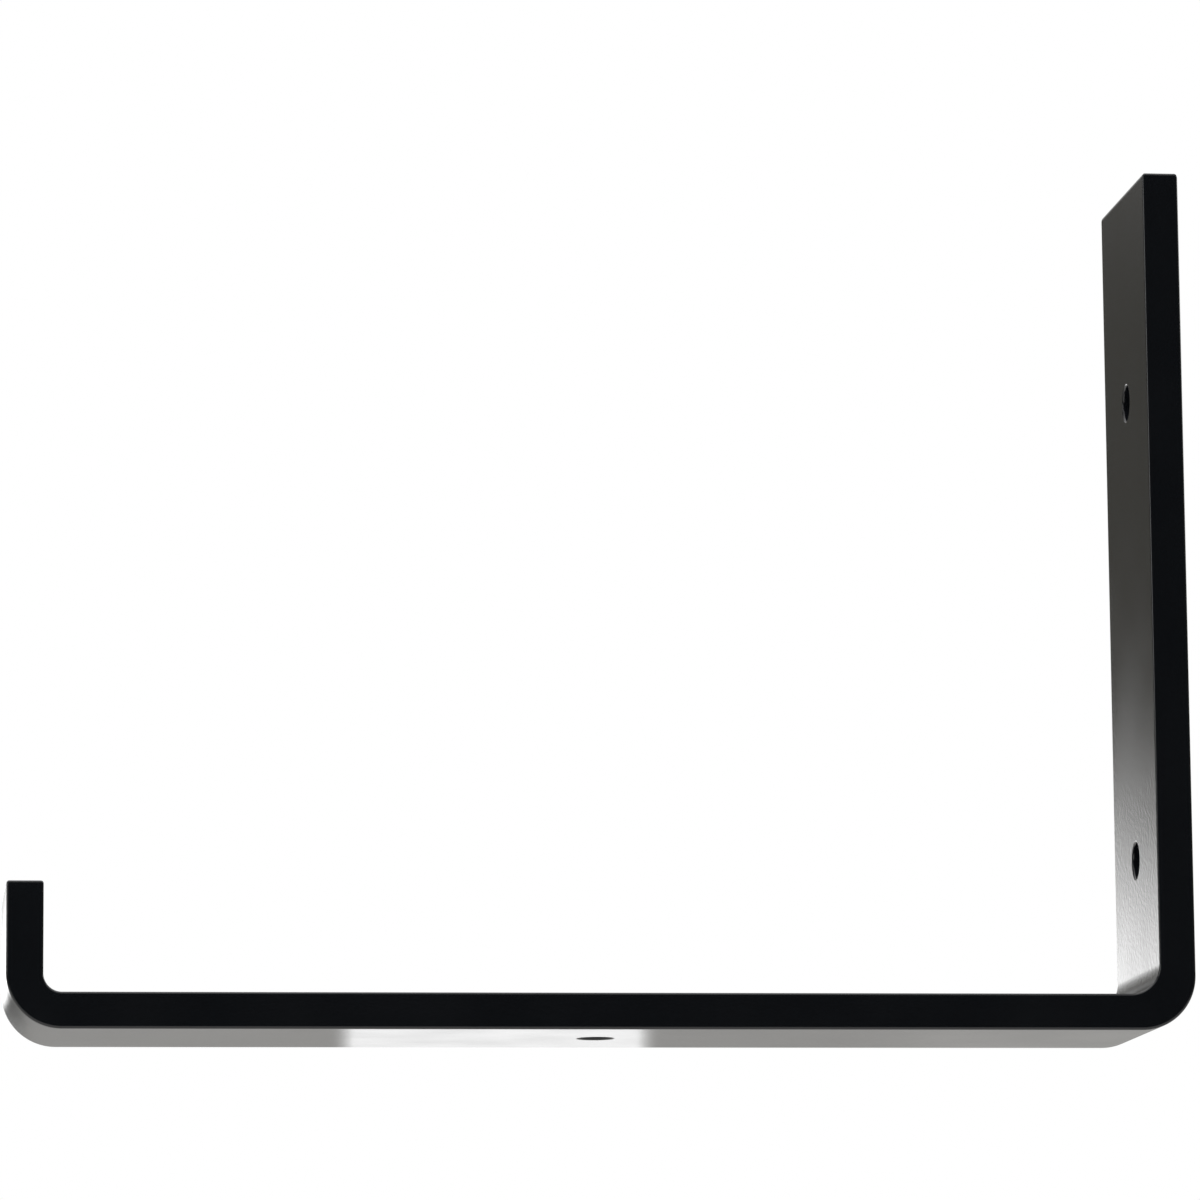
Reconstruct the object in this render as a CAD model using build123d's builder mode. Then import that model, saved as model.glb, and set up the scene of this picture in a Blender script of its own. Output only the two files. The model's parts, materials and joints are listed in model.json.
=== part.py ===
from build123d import *
import os

# Hanging shelf bracket, bent from one length of flat bar.
# The upright is screwed to the wall, the shelf board lies on the leg below it, and
# the short lip at the front keeps the board from sliding off.
#
# Frame: X runs out to the wall, Y across the bar, Z up.
# The origin is on the wall, halfway between the two wall holes.

# Flat bar, in millimetres
bar_thickness = 6.35
bar_width = 38.1
bar_edge_radius = 0.5

# How far the bent bar reaches, measured outside to outside
overall_height = 152.4
overall_length = 206.4
lip_height = 25.4

# The lip's bend keeps the bar's thickness. The wall bend has the same outside but is
# rounder inside, so the bar is a little thicker there
lip_bend_inner_radius = 3.2
wall_bend_inner_radius = 5.2

# Wall holes, one above the other on the middle of the bar
wall_hole_diameter = 6.35
top_wall_hole_below_top = 38.1
low_wall_hole_above_underside = 31.75

# Screw hole in the leg, halfway along it, for fixing the board from below
shelf_hole_diameter = 6.35

# Softening that the coating leaves round every hole
hole_rim_radius = 0.4

# Heights and places that follow from the sizes above
wall_hole_spacing = overall_height - top_wall_hole_below_top - low_wall_hole_above_underside
underside_z = -(low_wall_hole_above_underside + wall_hole_spacing / 2)
seat_z = underside_z + bar_thickness
top_z = underside_z + overall_height
lip_top_z = underside_z + lip_height
front_x = -overall_length
shelf_hole_x = front_x / 2
outer_bend_radius = lip_bend_inner_radius + bar_thickness

with BuildPart() as bracket:
    # Side view: the outside and the inside line of the J, joined at its two ends
    with BuildSketch(Plane.XZ):
        with BuildLine():
            outside = FilletPolyline(
                (0, top_z),
                (0, underside_z),
                (front_x, underside_z),
                (front_x, lip_top_z),
                radius=outer_bend_radius,
            )
            inside = FilletPolyline(
                (-bar_thickness, top_z),
                (-bar_thickness, seat_z),
                (front_x + bar_thickness, seat_z),
                (front_x + bar_thickness, lip_top_z),
                radius=[wall_bend_inner_radius, lip_bend_inner_radius],
            )
            Line(outside @ 0, inside @ 0)
            Line(outside @ 1, inside @ 1)
        make_face()
    extrude(amount=bar_width / 2, both=True)

    # The bar's edges are slightly rounded: along both sides, and across its two cut ends
    edges_by_y = bracket.edges().group_by(Axis.Y)
    edges_across = bracket.edges().filter_by(Axis.Y).group_by(Axis.Z)
    upright_end = edges_across[-1]
    lip_end = edges_across[-2]
    fillet(edges_by_y[0] + edges_by_y[-1] + upright_end + lip_end, radius=bar_edge_radius)

    # Two holes through the upright for the wall screws
    with Locations(Plane.YZ):
        with GridLocations(0, wall_hole_spacing, 1, 2):
            Hole(radius=wall_hole_diameter / 2, depth=bar_thickness)
    fillet(bracket.edges(Select.LAST).filter_by(GeomType.CIRCLE), radius=hole_rim_radius)

    # One hole through the leg for the shelf screw
    with Locations((shelf_hole_x, 0, seat_z)):
        Hole(radius=shelf_hole_diameter / 2, depth=bar_thickness)
    fillet(bracket.edges(Select.LAST).filter_by(GeomType.CIRCLE), radius=hole_rim_radius)

bracket.part.label = "bracket"
os.makedirs("parts", exist_ok=True)
export_step(bracket.part, "parts/bracket.step")
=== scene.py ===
# %% [markdown]
# # A shelf bracket bent from flat bar
# The real bracket is one length of steel flat bar. It was cut, drilled, bent twice into a J and
# coated black. Its solid is already made, so this lesson loads it as a fixed frame, takes every
# size from it, and gives it the edges and the coating that the eye sees.

# %% Load the solid
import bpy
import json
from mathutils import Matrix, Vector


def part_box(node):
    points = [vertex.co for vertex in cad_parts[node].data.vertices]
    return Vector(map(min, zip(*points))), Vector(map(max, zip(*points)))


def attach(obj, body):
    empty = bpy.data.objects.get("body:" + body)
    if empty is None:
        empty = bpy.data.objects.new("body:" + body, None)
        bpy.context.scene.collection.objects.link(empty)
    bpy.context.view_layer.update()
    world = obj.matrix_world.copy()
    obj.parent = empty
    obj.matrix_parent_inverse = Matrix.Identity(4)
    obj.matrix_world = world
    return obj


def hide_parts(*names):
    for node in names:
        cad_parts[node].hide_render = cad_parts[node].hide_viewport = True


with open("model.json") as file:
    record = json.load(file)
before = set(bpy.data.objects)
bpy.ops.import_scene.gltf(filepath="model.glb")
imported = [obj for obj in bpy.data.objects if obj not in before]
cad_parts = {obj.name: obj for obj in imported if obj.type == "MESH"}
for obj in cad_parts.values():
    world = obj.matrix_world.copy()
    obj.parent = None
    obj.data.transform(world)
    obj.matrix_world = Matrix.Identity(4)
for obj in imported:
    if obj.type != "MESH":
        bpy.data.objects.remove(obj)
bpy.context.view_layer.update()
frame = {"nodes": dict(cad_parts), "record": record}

# %% [markdown]
# ## Sizes
# A bent bar needs few numbers: its section, how far it reaches, and how tight it is bent. They
# could be typed in again here, but then two files would have to agree. So each one is read from
# the solid: a flat face ends where a bend or a rounded edge begins, and that gives its radius.

# %% Read the sizes from the solid
import json
import math

import bpy
from mathutils import Matrix, Quaternion, Vector

MM = 0.001

# Corners that are this close to a plane lie on it
NEAR = 0.001 * MM

low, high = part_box("bracket")
middle = (low + high) / 2
corners = [v.co for v in frame["nodes"]["bracket"].data.vertices]
mounts = {m["name"]: m for m in frame["record"]["mounts"]}


def place(mount):
    """Where a mount of the bracket is, in metres."""
    return Vector(mounts[mount]["pos_m"])


def foot_of_face(x):
    """The height at which the flat face that stands at x goes over into a bend."""
    return min(c.z for c in corners if abs(c.x - x) < NEAR)


seat_z = place("shelf_seat").z
bar_thickness = seat_z - low.z
bar_width = high.y - low.y
lip_top_z = max(c.z for c in corners if c.x < low.x + bar_thickness)
outer_radius = foot_of_face(high.x) - low.z
wall_bend_radius = foot_of_face(high.x - bar_thickness) - seat_z
lip_bend_radius = foot_of_face(low.x + bar_thickness) - seat_z
edge_radius = high.z - max(c.z for c in corners if abs(c.y - low.y) < NEAR)

hole_radius = mounts["wall_holes"]["dims"]["hole_r_mm"] * MM
hole_spacing = mounts["wall_holes"]["dims"]["spacing_y_mm"] * MM
shelf_hole = place("shelf_screw_hole")
rim_reach = min((c - shelf_hole).xy.length for c in corners if abs(c.z - seat_z) < NEAR)
rim_radius = rim_reach - hole_radius

print(f"bar {bar_width / MM:.2f} x {bar_thickness / MM:.2f} mm")
print(f"bends {outer_radius / MM:.2f} mm outside")
print(f"bends {wall_bend_radius / MM:.2f} mm and {lip_bend_radius / MM:.2f} mm inside")
print(f"edges rounded {edge_radius / MM:.2f} mm, hole rims {rim_radius / MM:.2f} mm")

# %% [markdown]
# ## One helper for every node tree
# Both the shape and the finishes are node trees. A tree built in a script is a list of nodes, each
# with settings and with inputs that hold a number or come from another node, so one function that
# adds such a node is all it takes. An input is given by its name, or by its place in the list
# where two inputs share a name.

# %% Add a node with its settings and links
def add_node(tree, kind, settings=None, inputs=None):
    """A new node of this kind, with its inputs linked to a socket or set to a value."""
    node = tree.nodes.new(kind)
    for name, value in (settings or {}).items():
        setattr(node, name, value)
    for name, value in (inputs or {}).items():
        if isinstance(value, bpy.types.NodeSocket):
            tree.links.new(value, node.inputs[name])
        else:
            node.inputs[name].default_value = value
    return node


# %% [markdown]
# ## Colours
# A colour is written the way a paint chart gives it, as sRGB hex, and a shader wants linear light.
# The two are far apart in the darks, so a black typed in unchanged would render as a mid grey. The
# numbers in the formula are the sRGB standard's: a straight line for the deepest darks, and a
# curve for all other tones.

# %% Turn a hex colour to linear light
def paint(hex_code):
    """Linear red, green, blue and full alpha for a colour such as #0D0F12."""
    def linear(part):
        return part / 12.92 if part <= 0.04045 else ((part + 0.055) / 1.055) ** 2.4

    parts = [int(hex_code[i:i + 2], 16) / 255 for i in (1, 3, 5)]
    return (*[linear(p) for p in parts], 1.0)


WHITE = "#FFFFFF"
print("white is", paint(WHITE), "and mid grey is", paint("#808080"))

# %% [markdown]
# ## The black coating
# The finish is semi-gloss black polyester powder coat: powder sprayed on dry and melted in an
# oven. It flows nearly flat, so it mirrors softly. Seen square on it is almost black, and seen
# along the surface it turns silver. A second colour could fake that silver, but it would stay put
# as the eye moves. It comes from the shader's own Fresnel instead, so all that the coat needs
# besides is a little unevenness in colour and gloss, and its bumps.

# %% Colour and gloss of the coat
COAT_DARK = "#0D0F12"
COAT_LIGHT = "#121417"
COAT_IOR = 1.5
COAT_ROUGHNESS = (0.15, 0.20)

# Clouds of slightly different gloss, where the powder lay thicker or thinner
CLOUD_MM = 18.0
CLOUD_DETAIL = 2.0
CLOUD_SPAN = (0.3, 0.7)

print("coat from", COAT_DARK, "to", COAT_LIGHT, "in clouds of", CLOUD_MM, "mm")

# %% [markdown]
# ## Its bumps
# Two kinds of bump stay in the melted powder: a faint orange peel about a millimetre across, and
# on it the grain of single specks. As real shape they would take millions of faces. They are only
# microns high, so two Bump nodes, one on top of the other, show them as well.

# %% Orange peel and grain
PEEL_MM = 0.9
PEEL_DETAIL = 1.0
PEEL_HEIGHT_MM = 0.016

# The real grain is under 0.1 mm, too fine to show, so it is drawn at least three times as coarse
GRAIN_MM = 0.3
GRAIN_DETAIL = 0.0
GRAIN_HEIGHT_MM = 0.004


def coat_bumps(tree, where):
    """The direction in which the coat faces at each point, bent by both kinds of bump."""
    grain = add_node(
        tree, "ShaderNodeTexNoise",
        inputs={"Vector": where, "Scale": 1 / (GRAIN_MM * MM), "Detail": GRAIN_DETAIL},
    )
    fine = add_node(
        tree, "ShaderNodeBump",
        inputs={"Height": grain.outputs["Fac"], "Distance": GRAIN_HEIGHT_MM * MM},
    )
    peel = add_node(
        tree, "ShaderNodeTexNoise",
        inputs={"Vector": where, "Scale": 1 / (PEEL_MM * MM), "Detail": PEEL_DETAIL},
    )
    relief = add_node(
        tree, "ShaderNodeBump",
        inputs={"Height": peel.outputs["Fac"], "Distance": PEEL_HEIGHT_MM * MM,
                "Normal": fine.outputs["Normal"]},
    )
    return relief.outputs["Normal"]


# %% [markdown]
# ## The coat as one material
# Colour and gloss could each have a pattern of their own, but on the real coat both change in the
# same places, where the powder lay thicker or thinner. So one cloud noise drives the two. The bumps
# turn the normal, and the IOR is a plain number on the shader.

# %% Powder coat
def powder_coat():
    material = bpy.data.materials.new("black_powder_coat")
    material.use_nodes = True
    tree = material.node_tree
    tree.nodes.clear()
    where = add_node(tree, "ShaderNodeTexCoord").outputs["Object"]
    cloud = add_node(
        tree, "ShaderNodeTexNoise",
        inputs={"Vector": where, "Scale": 1 / (CLOUD_MM * MM), "Detail": CLOUD_DETAIL},
    )
    # A Mix node has its two colours at places 6 and 7, and the mixed colour at place 2
    colour = add_node(
        tree, "ShaderNodeMix", {"data_type": "RGBA"},
        {"Factor": cloud.outputs["Fac"], 6: paint(COAT_DARK), 7: paint(COAT_LIGHT)},
    )
    gloss = add_node(
        tree, "ShaderNodeMapRange",
        inputs={"Value": cloud.outputs["Fac"], "From Min": CLOUD_SPAN[0], "From Max": CLOUD_SPAN[1],
                "To Min": COAT_ROUGHNESS[0], "To Max": COAT_ROUGHNESS[1]},
    )
    coat = add_node(
        tree, "ShaderNodeBsdfPrincipled",
        inputs={"Base Color": colour.outputs[2], "Roughness": gloss.outputs["Result"],
                "IOR": COAT_IOR, "Normal": coat_bumps(tree, where)},
    )
    add_node(tree, "ShaderNodeOutputMaterial", inputs={"Surface": coat.outputs["BSDF"]})
    return material


black_coat = powder_coat()
print("finish:", black_coat.name, "with", len(black_coat.node_tree.nodes), "nodes")

# %% [markdown]
# ## The bent bar
# A bent bar follows a rule: one section, carried along a line with rounded corners. It could be
# extruded, or pushed about by hand, but Geometry Nodes say the rule itself, and every size stays
# an input that can be changed. The tree is given the four corners of the J twice, outside and
# inside, because the wall bend is rounder inside than the lip's, and the bar a little thicker there.

# %% Inputs of the bar's tree
bar_tree = bpy.data.node_groups.new("bent_flat_bar", "GeometryNodeTree")
bar_tree.interface.new_socket("Geometry", in_out="OUTPUT", socket_type="NodeSocketGeometry")

half_bar = bar_thickness / 2
bar_inputs = {
    "Upright Top Outside": Vector((high.x, 0, high.z)),
    "Wall Corner Outside": Vector((high.x, 0, low.z)),
    "Front Corner Outside": Vector((low.x, 0, low.z)),
    "Lip Top Outside": Vector((low.x, 0, lip_top_z)),
    "Upright Top Inside": Vector((high.x - bar_thickness, 0, high.z)),
    "Wall Corner Inside": Vector((high.x - bar_thickness, 0, seat_z)),
    "Front Corner Inside": Vector((low.x + bar_thickness, 0, seat_z)),
    "Lip Top Inside": Vector((low.x + bar_thickness, 0, lip_top_z)),
    "Outer Bend Radius": outer_radius,
    "Wall Bend Radius": wall_bend_radius,
    "Lip Bend Radius": lip_bend_radius,
    "Bar Thickness": bar_thickness,
    "Bar Width": bar_width,
    "Upper Wall Hole": place("wall_holes") + Vector((-half_bar, 0, hole_spacing / 2)),
    "Lower Wall Hole": place("wall_holes") - Vector((half_bar, 0, hole_spacing / 2)),
    "Shelf Hole": shelf_hole,
    "Hole Radius": hole_radius,
    "Rim Share": rim_radius / edge_radius,
    "Coating": black_coat,
}
SOCKET_KINDS = {
    Vector: "NodeSocketVector",
    float: "NodeSocketFloat",
    bpy.types.Material: "NodeSocketMaterial",
}
bar_sockets = {}
for name, value in bar_inputs.items():
    kind = SOCKET_KINDS[type(value)]
    bar_sockets[name] = bar_tree.interface.new_socket(name, in_out="INPUT", socket_type=kind).identifier
print("bar tree inputs:", ", ".join(bar_inputs))

# %% [markdown]
# ## Two bent lines
# Seen from the side, the metal lies between two lines, an outer and an inner one. Each runs through
# four points, with its two middle corners rounded. They could be drawn by eye, but then the bends
# would be guesses. Fillet Curve rounds a corner by a radius, and the radii were measured.

# %% Draw the two lines of the side view
BENT_LINE = ("Upright Top", "Wall Corner", "Front Corner", "Lip Top")
BEND_STEPS = 32

given = add_node(bar_tree, "NodeGroupInput").outputs
number = add_node(bar_tree, "GeometryNodeInputIndex").outputs["Index"]
here = add_node(bar_tree, "GeometryNodeInputPosition").outputs["Position"]


def pick_by_number(kind, choices):
    """The first choice for point 0, the second for point 1, and so on."""
    pick = add_node(bar_tree, "GeometryNodeIndexSwitch", {"data_type": kind}, {"Index": number})
    for _ in choices[2:]:
        pick.index_switch_items.new()
    for i, choice in enumerate(choices):
        if isinstance(choice, bpy.types.NodeSocket):
            bar_tree.links.new(choice, pick.inputs[1 + i])
        else:
            pick.inputs[1 + i].default_value = choice
    return pick.outputs[0]


def bent_line(side, wall_radius, lip_radius):
    """One side of the J through its four corners, with the two bends rounded."""
    places = pick_by_number("VECTOR", [given[f"{corner} {side}"] for corner in BENT_LINE])
    radii = pick_by_number("FLOAT", [0.0, wall_radius, lip_radius, 0.0])
    line = add_node(bar_tree, "GeometryNodeMeshLine", inputs={"Count": len(BENT_LINE)})
    line = add_node(bar_tree, "GeometryNodeMeshToCurve", inputs={"Mesh": line.outputs["Mesh"]})
    line = add_node(
        bar_tree, "GeometryNodeSetPosition", inputs={"Geometry": line.outputs["Curve"], "Position": places}
    )
    line = add_node(
        bar_tree, "GeometryNodeFilletCurve", {"mode": "POLY"},
        {"Curve": line.outputs["Geometry"], "Count": BEND_STEPS, "Radius": radii},
    )
    return line.outputs["Curve"]


outside = bent_line("Outside", given["Outer Bend Radius"], given["Outer Bend Radius"])
inside = bent_line("Inside", given["Wall Bend Radius"], given["Lip Bend Radius"])
print("two lines, each bend in", BEND_STEPS, "steps")

# %% [markdown]
# ## From two lines to a bar
# Curve to Mesh sweeps a section along one line, which alone would make a bar of one thickness all
# along. Both lines have the same number of points, though, so each point of the outer line finds
# its partner on the inner one by its number, and carries both places along.

# %% Give each point of the outer line its partner
partner = add_node(
    bar_tree, "GeometryNodeSampleIndex", {"data_type": "FLOAT_VECTOR"},
    {"Geometry": inside, "Value": here, "Index": number},
)
rails = add_node(bar_tree, "GeometryNodeCaptureAttribute", inputs={"Geometry": outside})
for name, value in (("Outside", here), ("Inside", partner.outputs["Value"])):
    rails.capture_items.new("VECTOR", name)
    bar_tree.links.new(value, rails.inputs[name])
print("each point carries:", ", ".join(item.name for item in rails.capture_items))

# %% [markdown]
# ## The sweep
# The section is a rectangle, as thick and as wide as the flat bar. It could be drawn again at every
# point, but one is enough: Curve to Mesh carries it along the outer line and closes both ends. Its
# corners must be told apart later, so each notes on which side of the section it lies.

# %% Sweep the section along the outer line
section = add_node(
    bar_tree, "GeometryNodeCurvePrimitiveQuadrilateral",
    inputs={"Width": given["Bar Thickness"], "Height": given["Bar Width"]},
)
across = add_node(bar_tree, "ShaderNodeSeparateXYZ", inputs={"Vector": here}).outputs
sides = add_node(bar_tree, "GeometryNodeCaptureAttribute", inputs={"Geometry": section.outputs["Curve"]})
sides.capture_items.new("FLOAT", "Side")
bar_tree.links.new(across["X"], sides.inputs["Side"])

swept = add_node(
    bar_tree, "GeometryNodeCurveToMesh",
    inputs={"Curve": rails.outputs["Geometry"], "Profile Curve": sides.outputs["Geometry"],
            "Fill Caps": True},
)
print("bar tree so far:", len(bar_tree.nodes), "nodes")

# %% [markdown]
# ## Both sides on their lines
# The swept bar is centred on the outer line. A bar of one thickness could just be moved inwards by
# half of it. The real one is a little thicker in the wall bend, so each corner is set anew: the
# outer ones on the outer line, the inner ones on the inner line, and all stay where they are across
# the width.

# %% Set both sides of the bar
is_inside = add_node(
    bar_tree, "FunctionNodeCompare", {"data_type": "FLOAT", "operation": "LESS_THAN"},
    {0: sides.outputs["Side"], 1: 0.0},
)
on_line = add_node(
    bar_tree, "GeometryNodeSwitch", {"input_type": "VECTOR"},
    {"Switch": is_inside.outputs["Result"], "False": rails.outputs["Outside"],
     "True": rails.outputs["Inside"]},
)
keep_width = add_node(bar_tree, "ShaderNodeCombineXYZ", inputs={"Y": across["Y"]})
seat = add_node(
    bar_tree, "ShaderNodeVectorMath", {"operation": "ADD"},
    {0: on_line.outputs[0], 1: keep_width.outputs[0]},
)
bar = add_node(
    bar_tree, "GeometryNodeSetPosition",
    inputs={"Geometry": swept.outputs["Mesh"], "Position": seat.outputs["Vector"]},
)
print("bar tree so far:", len(bar_tree.nodes), "nodes")

# %% [markdown]
# ## The holes
# Two holes take the wall screws and one takes the shelf screw, each square through the flat metal.
# They could be modelled into the faces by hand. A drill is simpler: one cylinder, longer than the
# metal is thick, is put at the three places by instancing, and one exact Boolean cuts them all.

# %% Drill the holes
HOLE_STEPS = 96
UPWARDS = (0.0, 0.0, 0.0)
SIDEWAYS = (0.0, math.pi / 2, 0.0)
drilled_holes = {"Upper Wall Hole": SIDEWAYS, "Lower Wall Hole": SIDEWAYS, "Shelf Hole": UPWARDS}

# Length of the drill, as a multiple of the metal's thickness
DRILL_REACH = 2.0

hole_places = pick_by_number("VECTOR", [given[name] for name in drilled_holes])
hole_turns = pick_by_number("VECTOR", list(drilled_holes.values()))
drill_length = add_node(
    bar_tree, "ShaderNodeMath", {"operation": "MULTIPLY"}, {0: given["Bar Thickness"], 1: DRILL_REACH}
)
drill = add_node(
    bar_tree, "GeometryNodeMeshCylinder",
    inputs={"Vertices": HOLE_STEPS, "Radius": given["Hole Radius"], "Depth": drill_length.outputs[0]},
)
hole_points = add_node(
    bar_tree, "GeometryNodePoints", inputs={"Count": len(drilled_holes), "Position": hole_places}
)
turn = add_node(bar_tree, "FunctionNodeEulerToRotation", inputs={"Euler": hole_turns})
drills = add_node(
    bar_tree, "GeometryNodeInstanceOnPoints",
    inputs={"Points": hole_points.outputs["Points"], "Instance": drill.outputs["Mesh"],
            "Rotation": turn.outputs["Rotation"]},
)
drills = add_node(bar_tree, "GeometryNodeRealizeInstances", inputs={"Geometry": drills.outputs["Instances"]})
drilled = add_node(
    bar_tree, "GeometryNodeMeshBoolean", {"operation": "DIFFERENCE", "solver": "EXACT"},
    {"Mesh 1": bar.outputs["Geometry"], "Mesh 2": drills.outputs["Geometry"]},
)
print("holes:", ", ".join(drilled_holes))

# %% [markdown]
# ## Marks for the rounding
# Every sharp edge of the bar is rounded, and the rims of the holes a little less. The edges could
# be picked one by one, but the tree can tell them by itself: an edge is sharp where its two faces
# meet at a steep angle, and a rim is where the Boolean cut. It stores the share of the rounding
# that each edge gets as its bevel weight.

# %% Mark the edges to round, and finish the tree
SHARP_ANGLE = math.radians(60)

bend_at_edge = add_node(bar_tree, "GeometryNodeInputMeshEdgeAngle").outputs["Unsigned Angle"]
is_sharp = add_node(
    bar_tree, "FunctionNodeCompare", {"data_type": "FLOAT", "operation": "GREATER_THAN"},
    {0: bend_at_edge, 1: SHARP_ANGLE},
)
rounding = add_node(
    bar_tree, "GeometryNodeSwitch", {"input_type": "FLOAT"},
    {"Switch": drilled.outputs["Intersecting Edges"], "False": is_sharp.outputs["Result"],
     "True": given["Rim Share"]},
)
marked = add_node(
    bar_tree, "GeometryNodeStoreNamedAttribute", {"data_type": "FLOAT", "domain": "EDGE"},
    {"Geometry": drilled.outputs["Mesh"], "Name": "bevel_weight_edge", "Value": rounding.outputs[0]},
)
smooth = add_node(bar_tree, "GeometryNodeSetShadeSmooth", inputs={"Geometry": marked.outputs["Geometry"]})
whole = add_node(bar_tree, "GeometryNodeRealizeInstances", inputs={"Geometry": smooth.outputs["Geometry"]})
coated = add_node(
    bar_tree, "GeometryNodeSetMaterial",
    inputs={"Geometry": whole.outputs["Geometry"], "Material": given["Coating"]},
)
add_node(bar_tree, "NodeGroupOutput", inputs={0: coated.outputs["Geometry"]})
print("bar tree:", len(bar_tree.nodes), "nodes")

# %% [markdown]
# ## Rounded edges and a plain mesh
# Flat bar comes from the mill with its edges slightly rounded, and the coat rounds them more. That
# thin line of curved metal is what catches the light, so it is real shape, not a trick of shading.
# A Bevel modifier follows the marks from the tree. Weighted Normal then keeps the big faces flat,
# so that they mirror straight. The result is frozen into a plain mesh with its place inside it.

# %% Make the mesh
ROUNDING_STEPS = 6

blank = bpy.data.objects.new("bar_blank", bpy.data.meshes.new("bar_blank"))
bpy.context.scene.collection.objects.link(blank)
bend = blank.modifiers.new("bend", "NODES")
bend.node_group = bar_tree
for name, value in bar_inputs.items():
    bend[bar_sockets[name]] = value
round_over = blank.modifiers.new("round_over", "BEVEL")
round_over.limit_method = "WEIGHT"
round_over.width = edge_radius
round_over.segments = ROUNDING_STEPS
round_over.use_clamp_overlap = False
keep_flat = blank.modifiers.new("keep_flat", "WEIGHTED_NORMAL")
keep_flat.keep_sharp = False

made_blank = blank.evaluated_get(bpy.context.evaluated_depsgraph_get())
bar_mesh = bpy.data.meshes.new_from_object(made_blank)
bar_mesh.name = "bent_bar"

# The drills had no finish, and the Boolean keeps an empty slot for them, so the slots are made
# again with the coat alone
bar_mesh.materials.clear()
bar_mesh.materials.append(black_coat)

bent_bar = bpy.data.objects.new("bent_bar", bar_mesh)
bpy.context.scene.collection.objects.link(bent_bar)
bpy.data.objects.remove(blank)
print(f"bent bar: {len(bar_mesh.vertices)} corners, {len(bar_mesh.polygons)} faces")

# %% [markdown]
# ## Put it in the frame
# The bracket has no moving part, so the bar rides on the one body that there is. It has the same
# form and size as the solid that it stands for, and takes that solid's place in the picture. The
# solid's own faces could be kept, but they are long triangles, which a soft gloss shows.

# %% Ride and replace
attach(bent_bar, "root")
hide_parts("bracket")
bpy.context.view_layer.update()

# %% [markdown]
# ## The room
# Black gloss shows the room more than its own colour, so the room is most of the work. The
# background is plain white to the camera and to what mirrors it. As light it is only half as
# strong, because the lamps give the rest.

# %% White background
ROOM_LEVEL = 0.5


def white_world():
    world = bpy.data.worlds.new("white_world")
    bpy.context.scene.world = world
    world.use_nodes = True
    tree = world.node_tree
    tree.nodes.clear()
    ray = add_node(tree, "ShaderNodeLightPath").outputs
    mirrored = add_node(
        tree, "ShaderNodeMath", {"operation": "MAXIMUM"},
        {0: ray["Is Glossy Ray"], 1: ray["Is Transmission Ray"]},
    )
    shown = add_node(
        tree, "ShaderNodeMath", {"operation": "MAXIMUM"}, {0: ray["Is Camera Ray"], 1: mirrored.outputs[0]}
    )
    level = add_node(
        tree, "ShaderNodeMapRange", inputs={"Value": shown.outputs[0], "To Min": ROOM_LEVEL, "To Max": 1.0}
    )
    light = add_node(
        tree, "ShaderNodeBackground", inputs={"Color": paint(WHITE), "Strength": level.outputs["Result"]}
    )
    add_node(tree, "ShaderNodeOutputWorld", inputs={"Surface": light.outputs[0]})


white_world()
print("background: white to the eye, level", ROOM_LEVEL, "as light")

# %% [markdown]
# ## One helper for every board
# The floor and the cards round a product are the same thing in a studio: a flat board that stands
# somewhere and faces some way. An operator such as Add Plane would need a turn and a scale for each.

# %% A flat board that stands anywhere and faces any way
def board(name, centre, size, facing, material, turn=0.0):
    """A board of this size whose front looks along facing, turned about that line by turn."""
    across, along = size[0] / 2, size[1] / 2
    outline = [(-across, -along, 0), (across, -along, 0), (across, along, 0), (-across, along, 0)]
    mesh = bpy.data.meshes.new(name)
    mesh.from_pydata(outline, [], [(0, 1, 2, 3)])
    mesh.materials.append(material)
    made = bpy.data.objects.new(name, mesh)
    made.location = centre
    stand = Vector(facing).to_track_quat("Z", "Y")
    made.rotation_euler = (stand @ Quaternion((0, 0, 1), turn)).to_euler()
    bpy.context.scene.collection.objects.link(made)
    return made


# %% [markdown]
# ## The floor
# A bracket like this hangs on a wall and is seen from below, so the floor lies well under it. A
# plane up to the horizon would cut the white background in two, so this one fades out far from the
# bracket, and seen from below it is clear.

# %% Floor
SKYWARDS = (0, 0, 1)
FLOOR_DROP = 0.20
FLOOR_SIZE = 6.0
FLOOR_COLOUR = "#F2F1EE"
FLOOR_FADE = (0.5, 2.2)


def floor_finish():
    material = bpy.data.materials.new("pale_floor")
    material.use_nodes = True
    tree = material.node_tree
    tree.nodes.clear()
    where = add_node(tree, "ShaderNodeTexCoord").outputs["Object"]
    away = add_node(tree, "ShaderNodeVectorMath", {"operation": "LENGTH"}, {0: where})
    fade = add_node(
        tree, "ShaderNodeMapRange", {"interpolation_type": "SMOOTHSTEP"},
        {"Value": away.outputs["Value"], "From Min": FLOOR_FADE[0], "From Max": FLOOR_FADE[1]},
    )
    under = add_node(tree, "ShaderNodeNewGeometry").outputs["Backfacing"]
    gone = add_node(tree, "ShaderNodeMath", {"operation": "MAXIMUM"}, {0: fade.outputs["Result"], 1: under})
    paper = add_node(tree, "ShaderNodeBsdfDiffuse", inputs={"Color": paint(FLOOR_COLOUR)})
    clear = add_node(tree, "ShaderNodeBsdfTransparent")
    out = add_node(
        tree, "ShaderNodeMixShader", inputs={0: gone.outputs[0], 1: paper.outputs[0], 2: clear.outputs[0]}
    )
    add_node(tree, "ShaderNodeOutputMaterial", inputs={"Surface": out.outputs[0]})
    return material


FLOOR_PLACE = (middle.x, middle.y, low.z - FLOOR_DROP)
board("floor", FLOOR_PLACE, (FLOOR_SIZE, FLOOR_SIZE), SKYWARDS, floor_finish())
print("floor at", round(FLOOR_PLACE[2], 4), "m")

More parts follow.
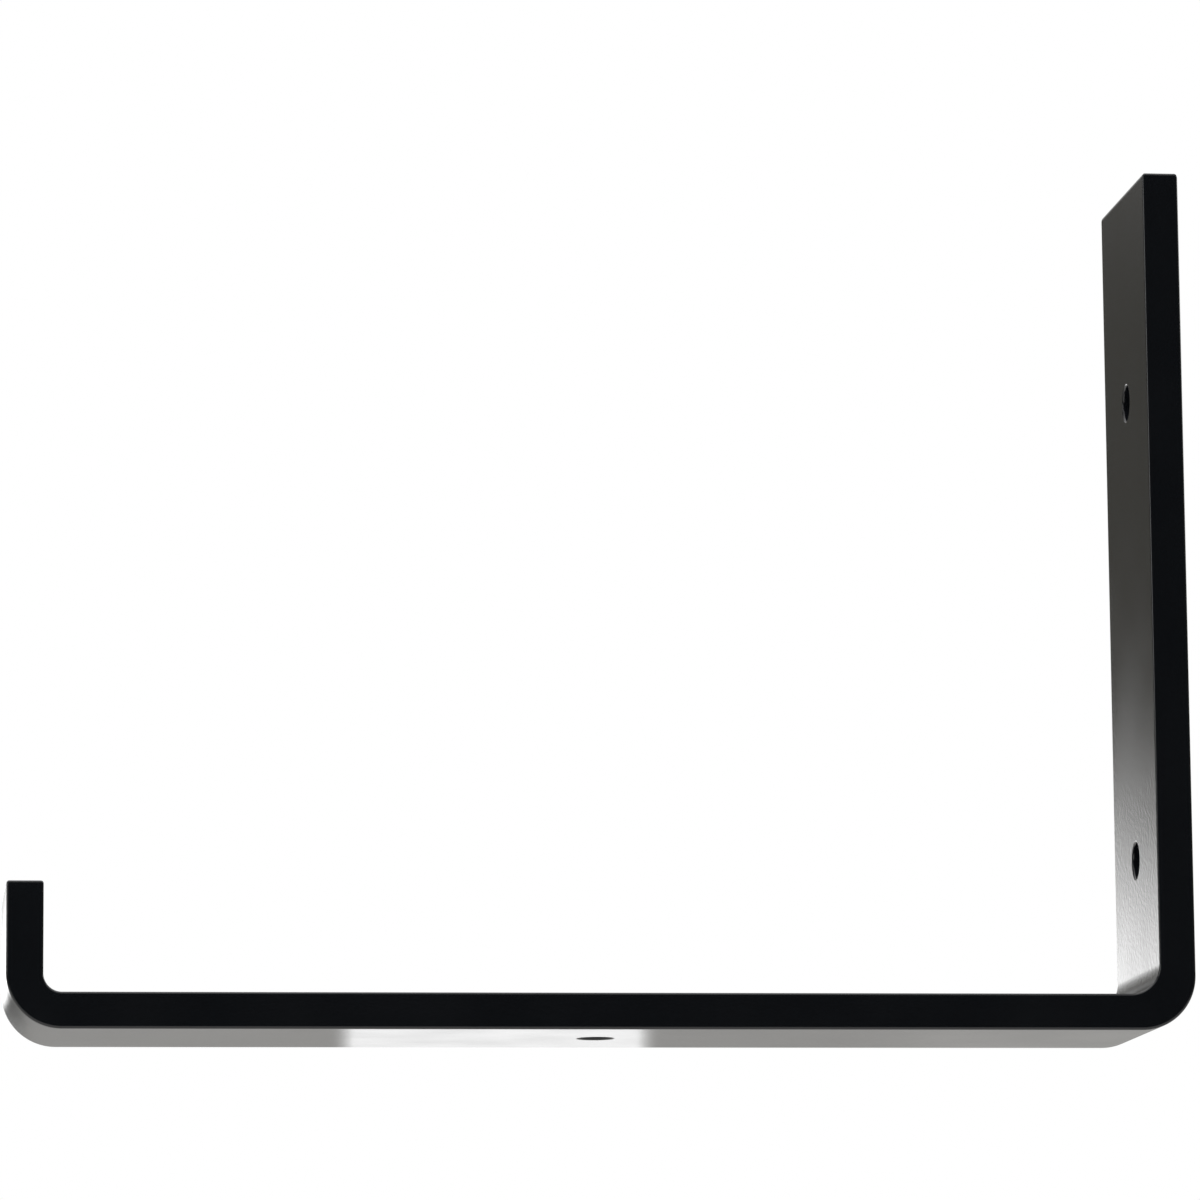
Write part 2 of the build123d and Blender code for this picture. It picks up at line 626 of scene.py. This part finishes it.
# %% [markdown]
# ## Cards
# A studio puts boards round a black object, outside the picture: dark ones, called flags, keep it
# black, and white ones draw the bright bands on it. Here such a card is a glowing board that only
# mirrors can see. It casts no light and no shadow, it is clear from behind, and its light fades
# out towards its edges, as the light of a soft box does.

# %% Boards that only the coat sees
# Width of the fade at an edge that should look hard, in metres
HARD_EDGE = 0.001

# The power by which the light falls off over that width: squared, it has no visible end
FALL_OFF = 2.0


def card(name, centre, size, facing, hex_code, level=1.0, soft=HARD_EDGE, turn=0.0):
    """A glowing board whose light fades out over the width soft, inside its edges."""
    material = bpy.data.materials.new(name)
    material.use_nodes = True
    tree = material.node_tree
    tree.nodes.clear()
    where = add_node(tree, "ShaderNodeTexCoord").outputs["Object"]
    along = add_node(tree, "ShaderNodeSeparateXYZ", inputs={"Vector": where}).outputs
    within = []
    for axis, length in (("X", size[0]), ("Y", size[1])):
        off = add_node(tree, "ShaderNodeMath", {"operation": "ABSOLUTE"}, {0: along[axis]})
        part = add_node(
            tree, "ShaderNodeMapRange",
            inputs={"Value": off.outputs[0], "From Min": length / 2 - soft, "From Max": length / 2,
                    "To Min": 1.0, "To Max": 0.0},
        )
        within.append(part.outputs["Result"])
    both = add_node(tree, "ShaderNodeMath", {"operation": "MULTIPLY"}, {0: within[0], 1: within[1]})
    both = add_node(tree, "ShaderNodeMath", {"operation": "POWER"}, {0: both.outputs[0], 1: FALL_OFF})
    behind = add_node(tree, "ShaderNodeNewGeometry").outputs["Backfacing"]
    front = add_node(
        tree, "ShaderNodeMath", {"operation": "SUBTRACT", "use_clamp": True}, {0: both.outputs[0], 1: behind}
    )
    clear = add_node(tree, "ShaderNodeBsdfTransparent")
    glow = add_node(tree, "ShaderNodeEmission", inputs={"Color": paint(hex_code), "Strength": level})
    out = add_node(
        tree, "ShaderNodeMixShader", inputs={0: front.outputs[0], 1: clear.outputs[0], 2: glow.outputs[0]}
    )
    add_node(tree, "ShaderNodeOutputMaterial", inputs={"Surface": out.outputs[0]})
    made = board(name, centre, size, facing, material, turn)
    made.visible_camera = False
    made.visible_diffuse = False
    made.visible_shadow = False
    return made


# %% [markdown]
# ## Flags all round
# In an all white room the black coat would turn grey, because every side of it mirrors white. One
# big dome could darken it evenly, but then no two faces would differ. Four flags let each side have
# its own tone. The bar's narrow side faces the camera and mirrors the front flag, so that one is
# nearly black. The upper half of the upright mirrors the back flag, and that one and the two at
# the sides are a warm grey.

# %% Flags
FORWARDS = (0, 1, 0)
BACKWARDS = (0, -1, 0)
RIGHTWARDS = (1, 0, 0)
LEFTWARDS = (-1, 0, 0)
FLAG_DARK = "#0A0A0A"
FLAG_GREY = "#5F5D57"
FRONT_FLAG_SIZE = (5.0, 4.0)
FLAG_SIZE = (5.0, 3.0)

flags = [
    card("front_flag", (middle.x, -2.6, 0.3), FRONT_FLAG_SIZE, FORWARDS, FLAG_DARK),
    card("back_flag", (middle.x, 2.2, 0.5), FLAG_SIZE, BACKWARDS, FLAG_GREY),
    card("left_flag", (-2.4, 0.0, 0.5), FLAG_SIZE, RIGHTWARDS, FLAG_GREY),
    card("right_flag", (2.2, 0.0, 0.5), FLAG_SIZE, LEFTWARDS, FLAG_GREY),
]
print("flags:", ", ".join(flag.name for flag in flags))

# %% [markdown]
# ## Cards for the upright
# The real upright is dark above its middle and silver at its foot. Painted on, that would show from
# every side. The coat does it by itself where it mirrors a low white card with a wide soft edge.
# The card leans, and so does the edge of the light. A fainter card high up lifts the top of the
# upright, and a grey one to the right shows in the hollow of the wall bend.

# %% Cards that the upright mirrors
UPRIGHT_CARDS_Y = 1.5
LEAN = math.radians(22)

upright_cards = [
    card("low_white_card", centre=(-0.31, UPRIGHT_CARDS_Y, 0.0265), size=(0.8, 0.31),
         facing=BACKWARDS, hex_code=WHITE, level=3.3, soft=0.11, turn=LEAN),
    card("high_white_card", centre=(-0.35, UPRIGHT_CARDS_Y, 0.8), size=(1.6, 0.9),
         facing=BACKWARDS, hex_code=WHITE, level=0.8, soft=0.25),
    card("right_grey_card", centre=(0.32, UPRIGHT_CARDS_Y, 0.35), size=(0.96, 0.7),
         facing=BACKWARDS, hex_code=WHITE, level=0.42, soft=0.1),
]
print("cards for the upright:", ", ".join(made.name for made in upright_cards))

# %% [markdown]
# ## Cards for the underside of the leg
# The real underside is an even light grey, a little lighter to the right, with a nearly white
# stretch round the shelf hole. Two low grey cards give the even part. They are far off, and a soft
# gloss blurs what is far, so they can't draw the sharp ends of the white stretch. Two small cards
# close behind the bar do: a white one for that stretch, and a grey one at the lip's bend.

# %% Cards that the underside mirrors
LOW_GREY = "#B4B3B0"
DARK_GREY = "#6C6C6A"
LOW_CARD_Y = 1.6
LOW_RIGHT_CARD_Y = 1.58
NEAR_CARDS_Y = 0.08

underside_cards = [
    card("low_grey_card", centre=(0.05, LOW_CARD_Y, -0.2), size=(2.0, 0.4),
         facing=BACKWARDS, hex_code=LOW_GREY),
    card("low_right_card", centre=(0.45, LOW_RIGHT_CARD_Y, -0.2), size=(0.55, 0.4),
         facing=BACKWARDS, hex_code=LOW_GREY, level=1.2, soft=0.06),
    card("near_white_card", centre=(-0.1128, NEAR_CARDS_Y, -0.085), size=(0.0616, 0.03),
         facing=BACKWARDS, hex_code=WHITE, level=1.62, soft=0.004),
    card("near_grey_card", centre=(-0.220, NEAR_CARDS_Y, -0.069), size=(0.036, 0.026),
         facing=BACKWARDS, hex_code=DARK_GREY, soft=0.008),
]
print("cards for the underside:", ", ".join(made.name for made in underside_cards))

# %% [markdown]
# ## Lamps
# Soft daylight from above would do, but four area lamps say more about the form: a key from the
# upper left, a wide one overhead, and one from each side so that no face is lost. The key isn't
# mirrored, because its small image would be a hard spot on the gloss.

# %% Lamps
def soft_box(name, centre, size, power, mirrored=True):
    """A square area lamp that points at the middle of the bracket."""
    data = bpy.data.lights.new(name, "AREA")
    data.size = size
    data.energy = power
    lamp = bpy.data.objects.new(name, data)
    lamp.location = centre
    lamp.rotation_euler = (middle - Vector(centre)).to_track_quat("-Z", "Y").to_euler()
    lamp.visible_glossy = mirrored
    bpy.context.scene.collection.objects.link(lamp)
    return lamp


lamps = [
    soft_box("key", centre=(-0.5, -0.3, 1.5), size=0.5, power=12, mirrored=False),
    soft_box("overhead", centre=(-0.3, 0.2, 1.8), size=2.4, power=8),
    soft_box("left_side", centre=(-1.9, -0.3, 0.6), size=1.0, power=8),
    soft_box("right_side", centre=(1.7, 0.5, 0.8), size=1.0, power=8),
]
print("lamps:", ", ".join(f"{lamp.name} {lamp.data.energy:.0f} W" for lamp in lamps))

# %% [markdown]
# ## Camera
# The photographer stood well back and below, a little to the left, so that the narrow side of the
# bar faces the lens and two broad faces show as thin strips: the front of the upright and the
# underside of the leg. A long lens from about 1.1 metres gives that. Its place and its three turns
# were fitted to corners of the bar that can be told in the picture.

# %% Place the camera
LENS_MM = 188.8
CAMERA_PLACE = Vector((-0.2292, -1.0930, -0.1661))
TURN_RIGHT = math.radians(6.653)
TILT_UP = math.radians(8.822)
ROLL = math.radians(-0.501)
NEAREST_SHOWN = 0.05

lens = bpy.data.cameras.new("camera")
lens.lens = LENS_MM
lens.clip_start = NEAREST_SHOWN
camera = bpy.data.objects.new("camera", lens)
camera.matrix_world = (
    Matrix.Translation(CAMERA_PLACE)
    @ Matrix.Rotation(-TURN_RIGHT, 4, "Z")
    @ Matrix.Rotation(math.pi / 2 + TILT_UP, 4, "X")
    @ Matrix.Rotation(ROLL, 4, "Z")
)
bpy.context.scene.collection.objects.link(camera)
bpy.context.scene.camera = camera
bpy.context.scene.view_settings.view_transform = "Standard"
print(f"camera {(CAMERA_PLACE - middle).length:.2f} m from the middle of the bracket")
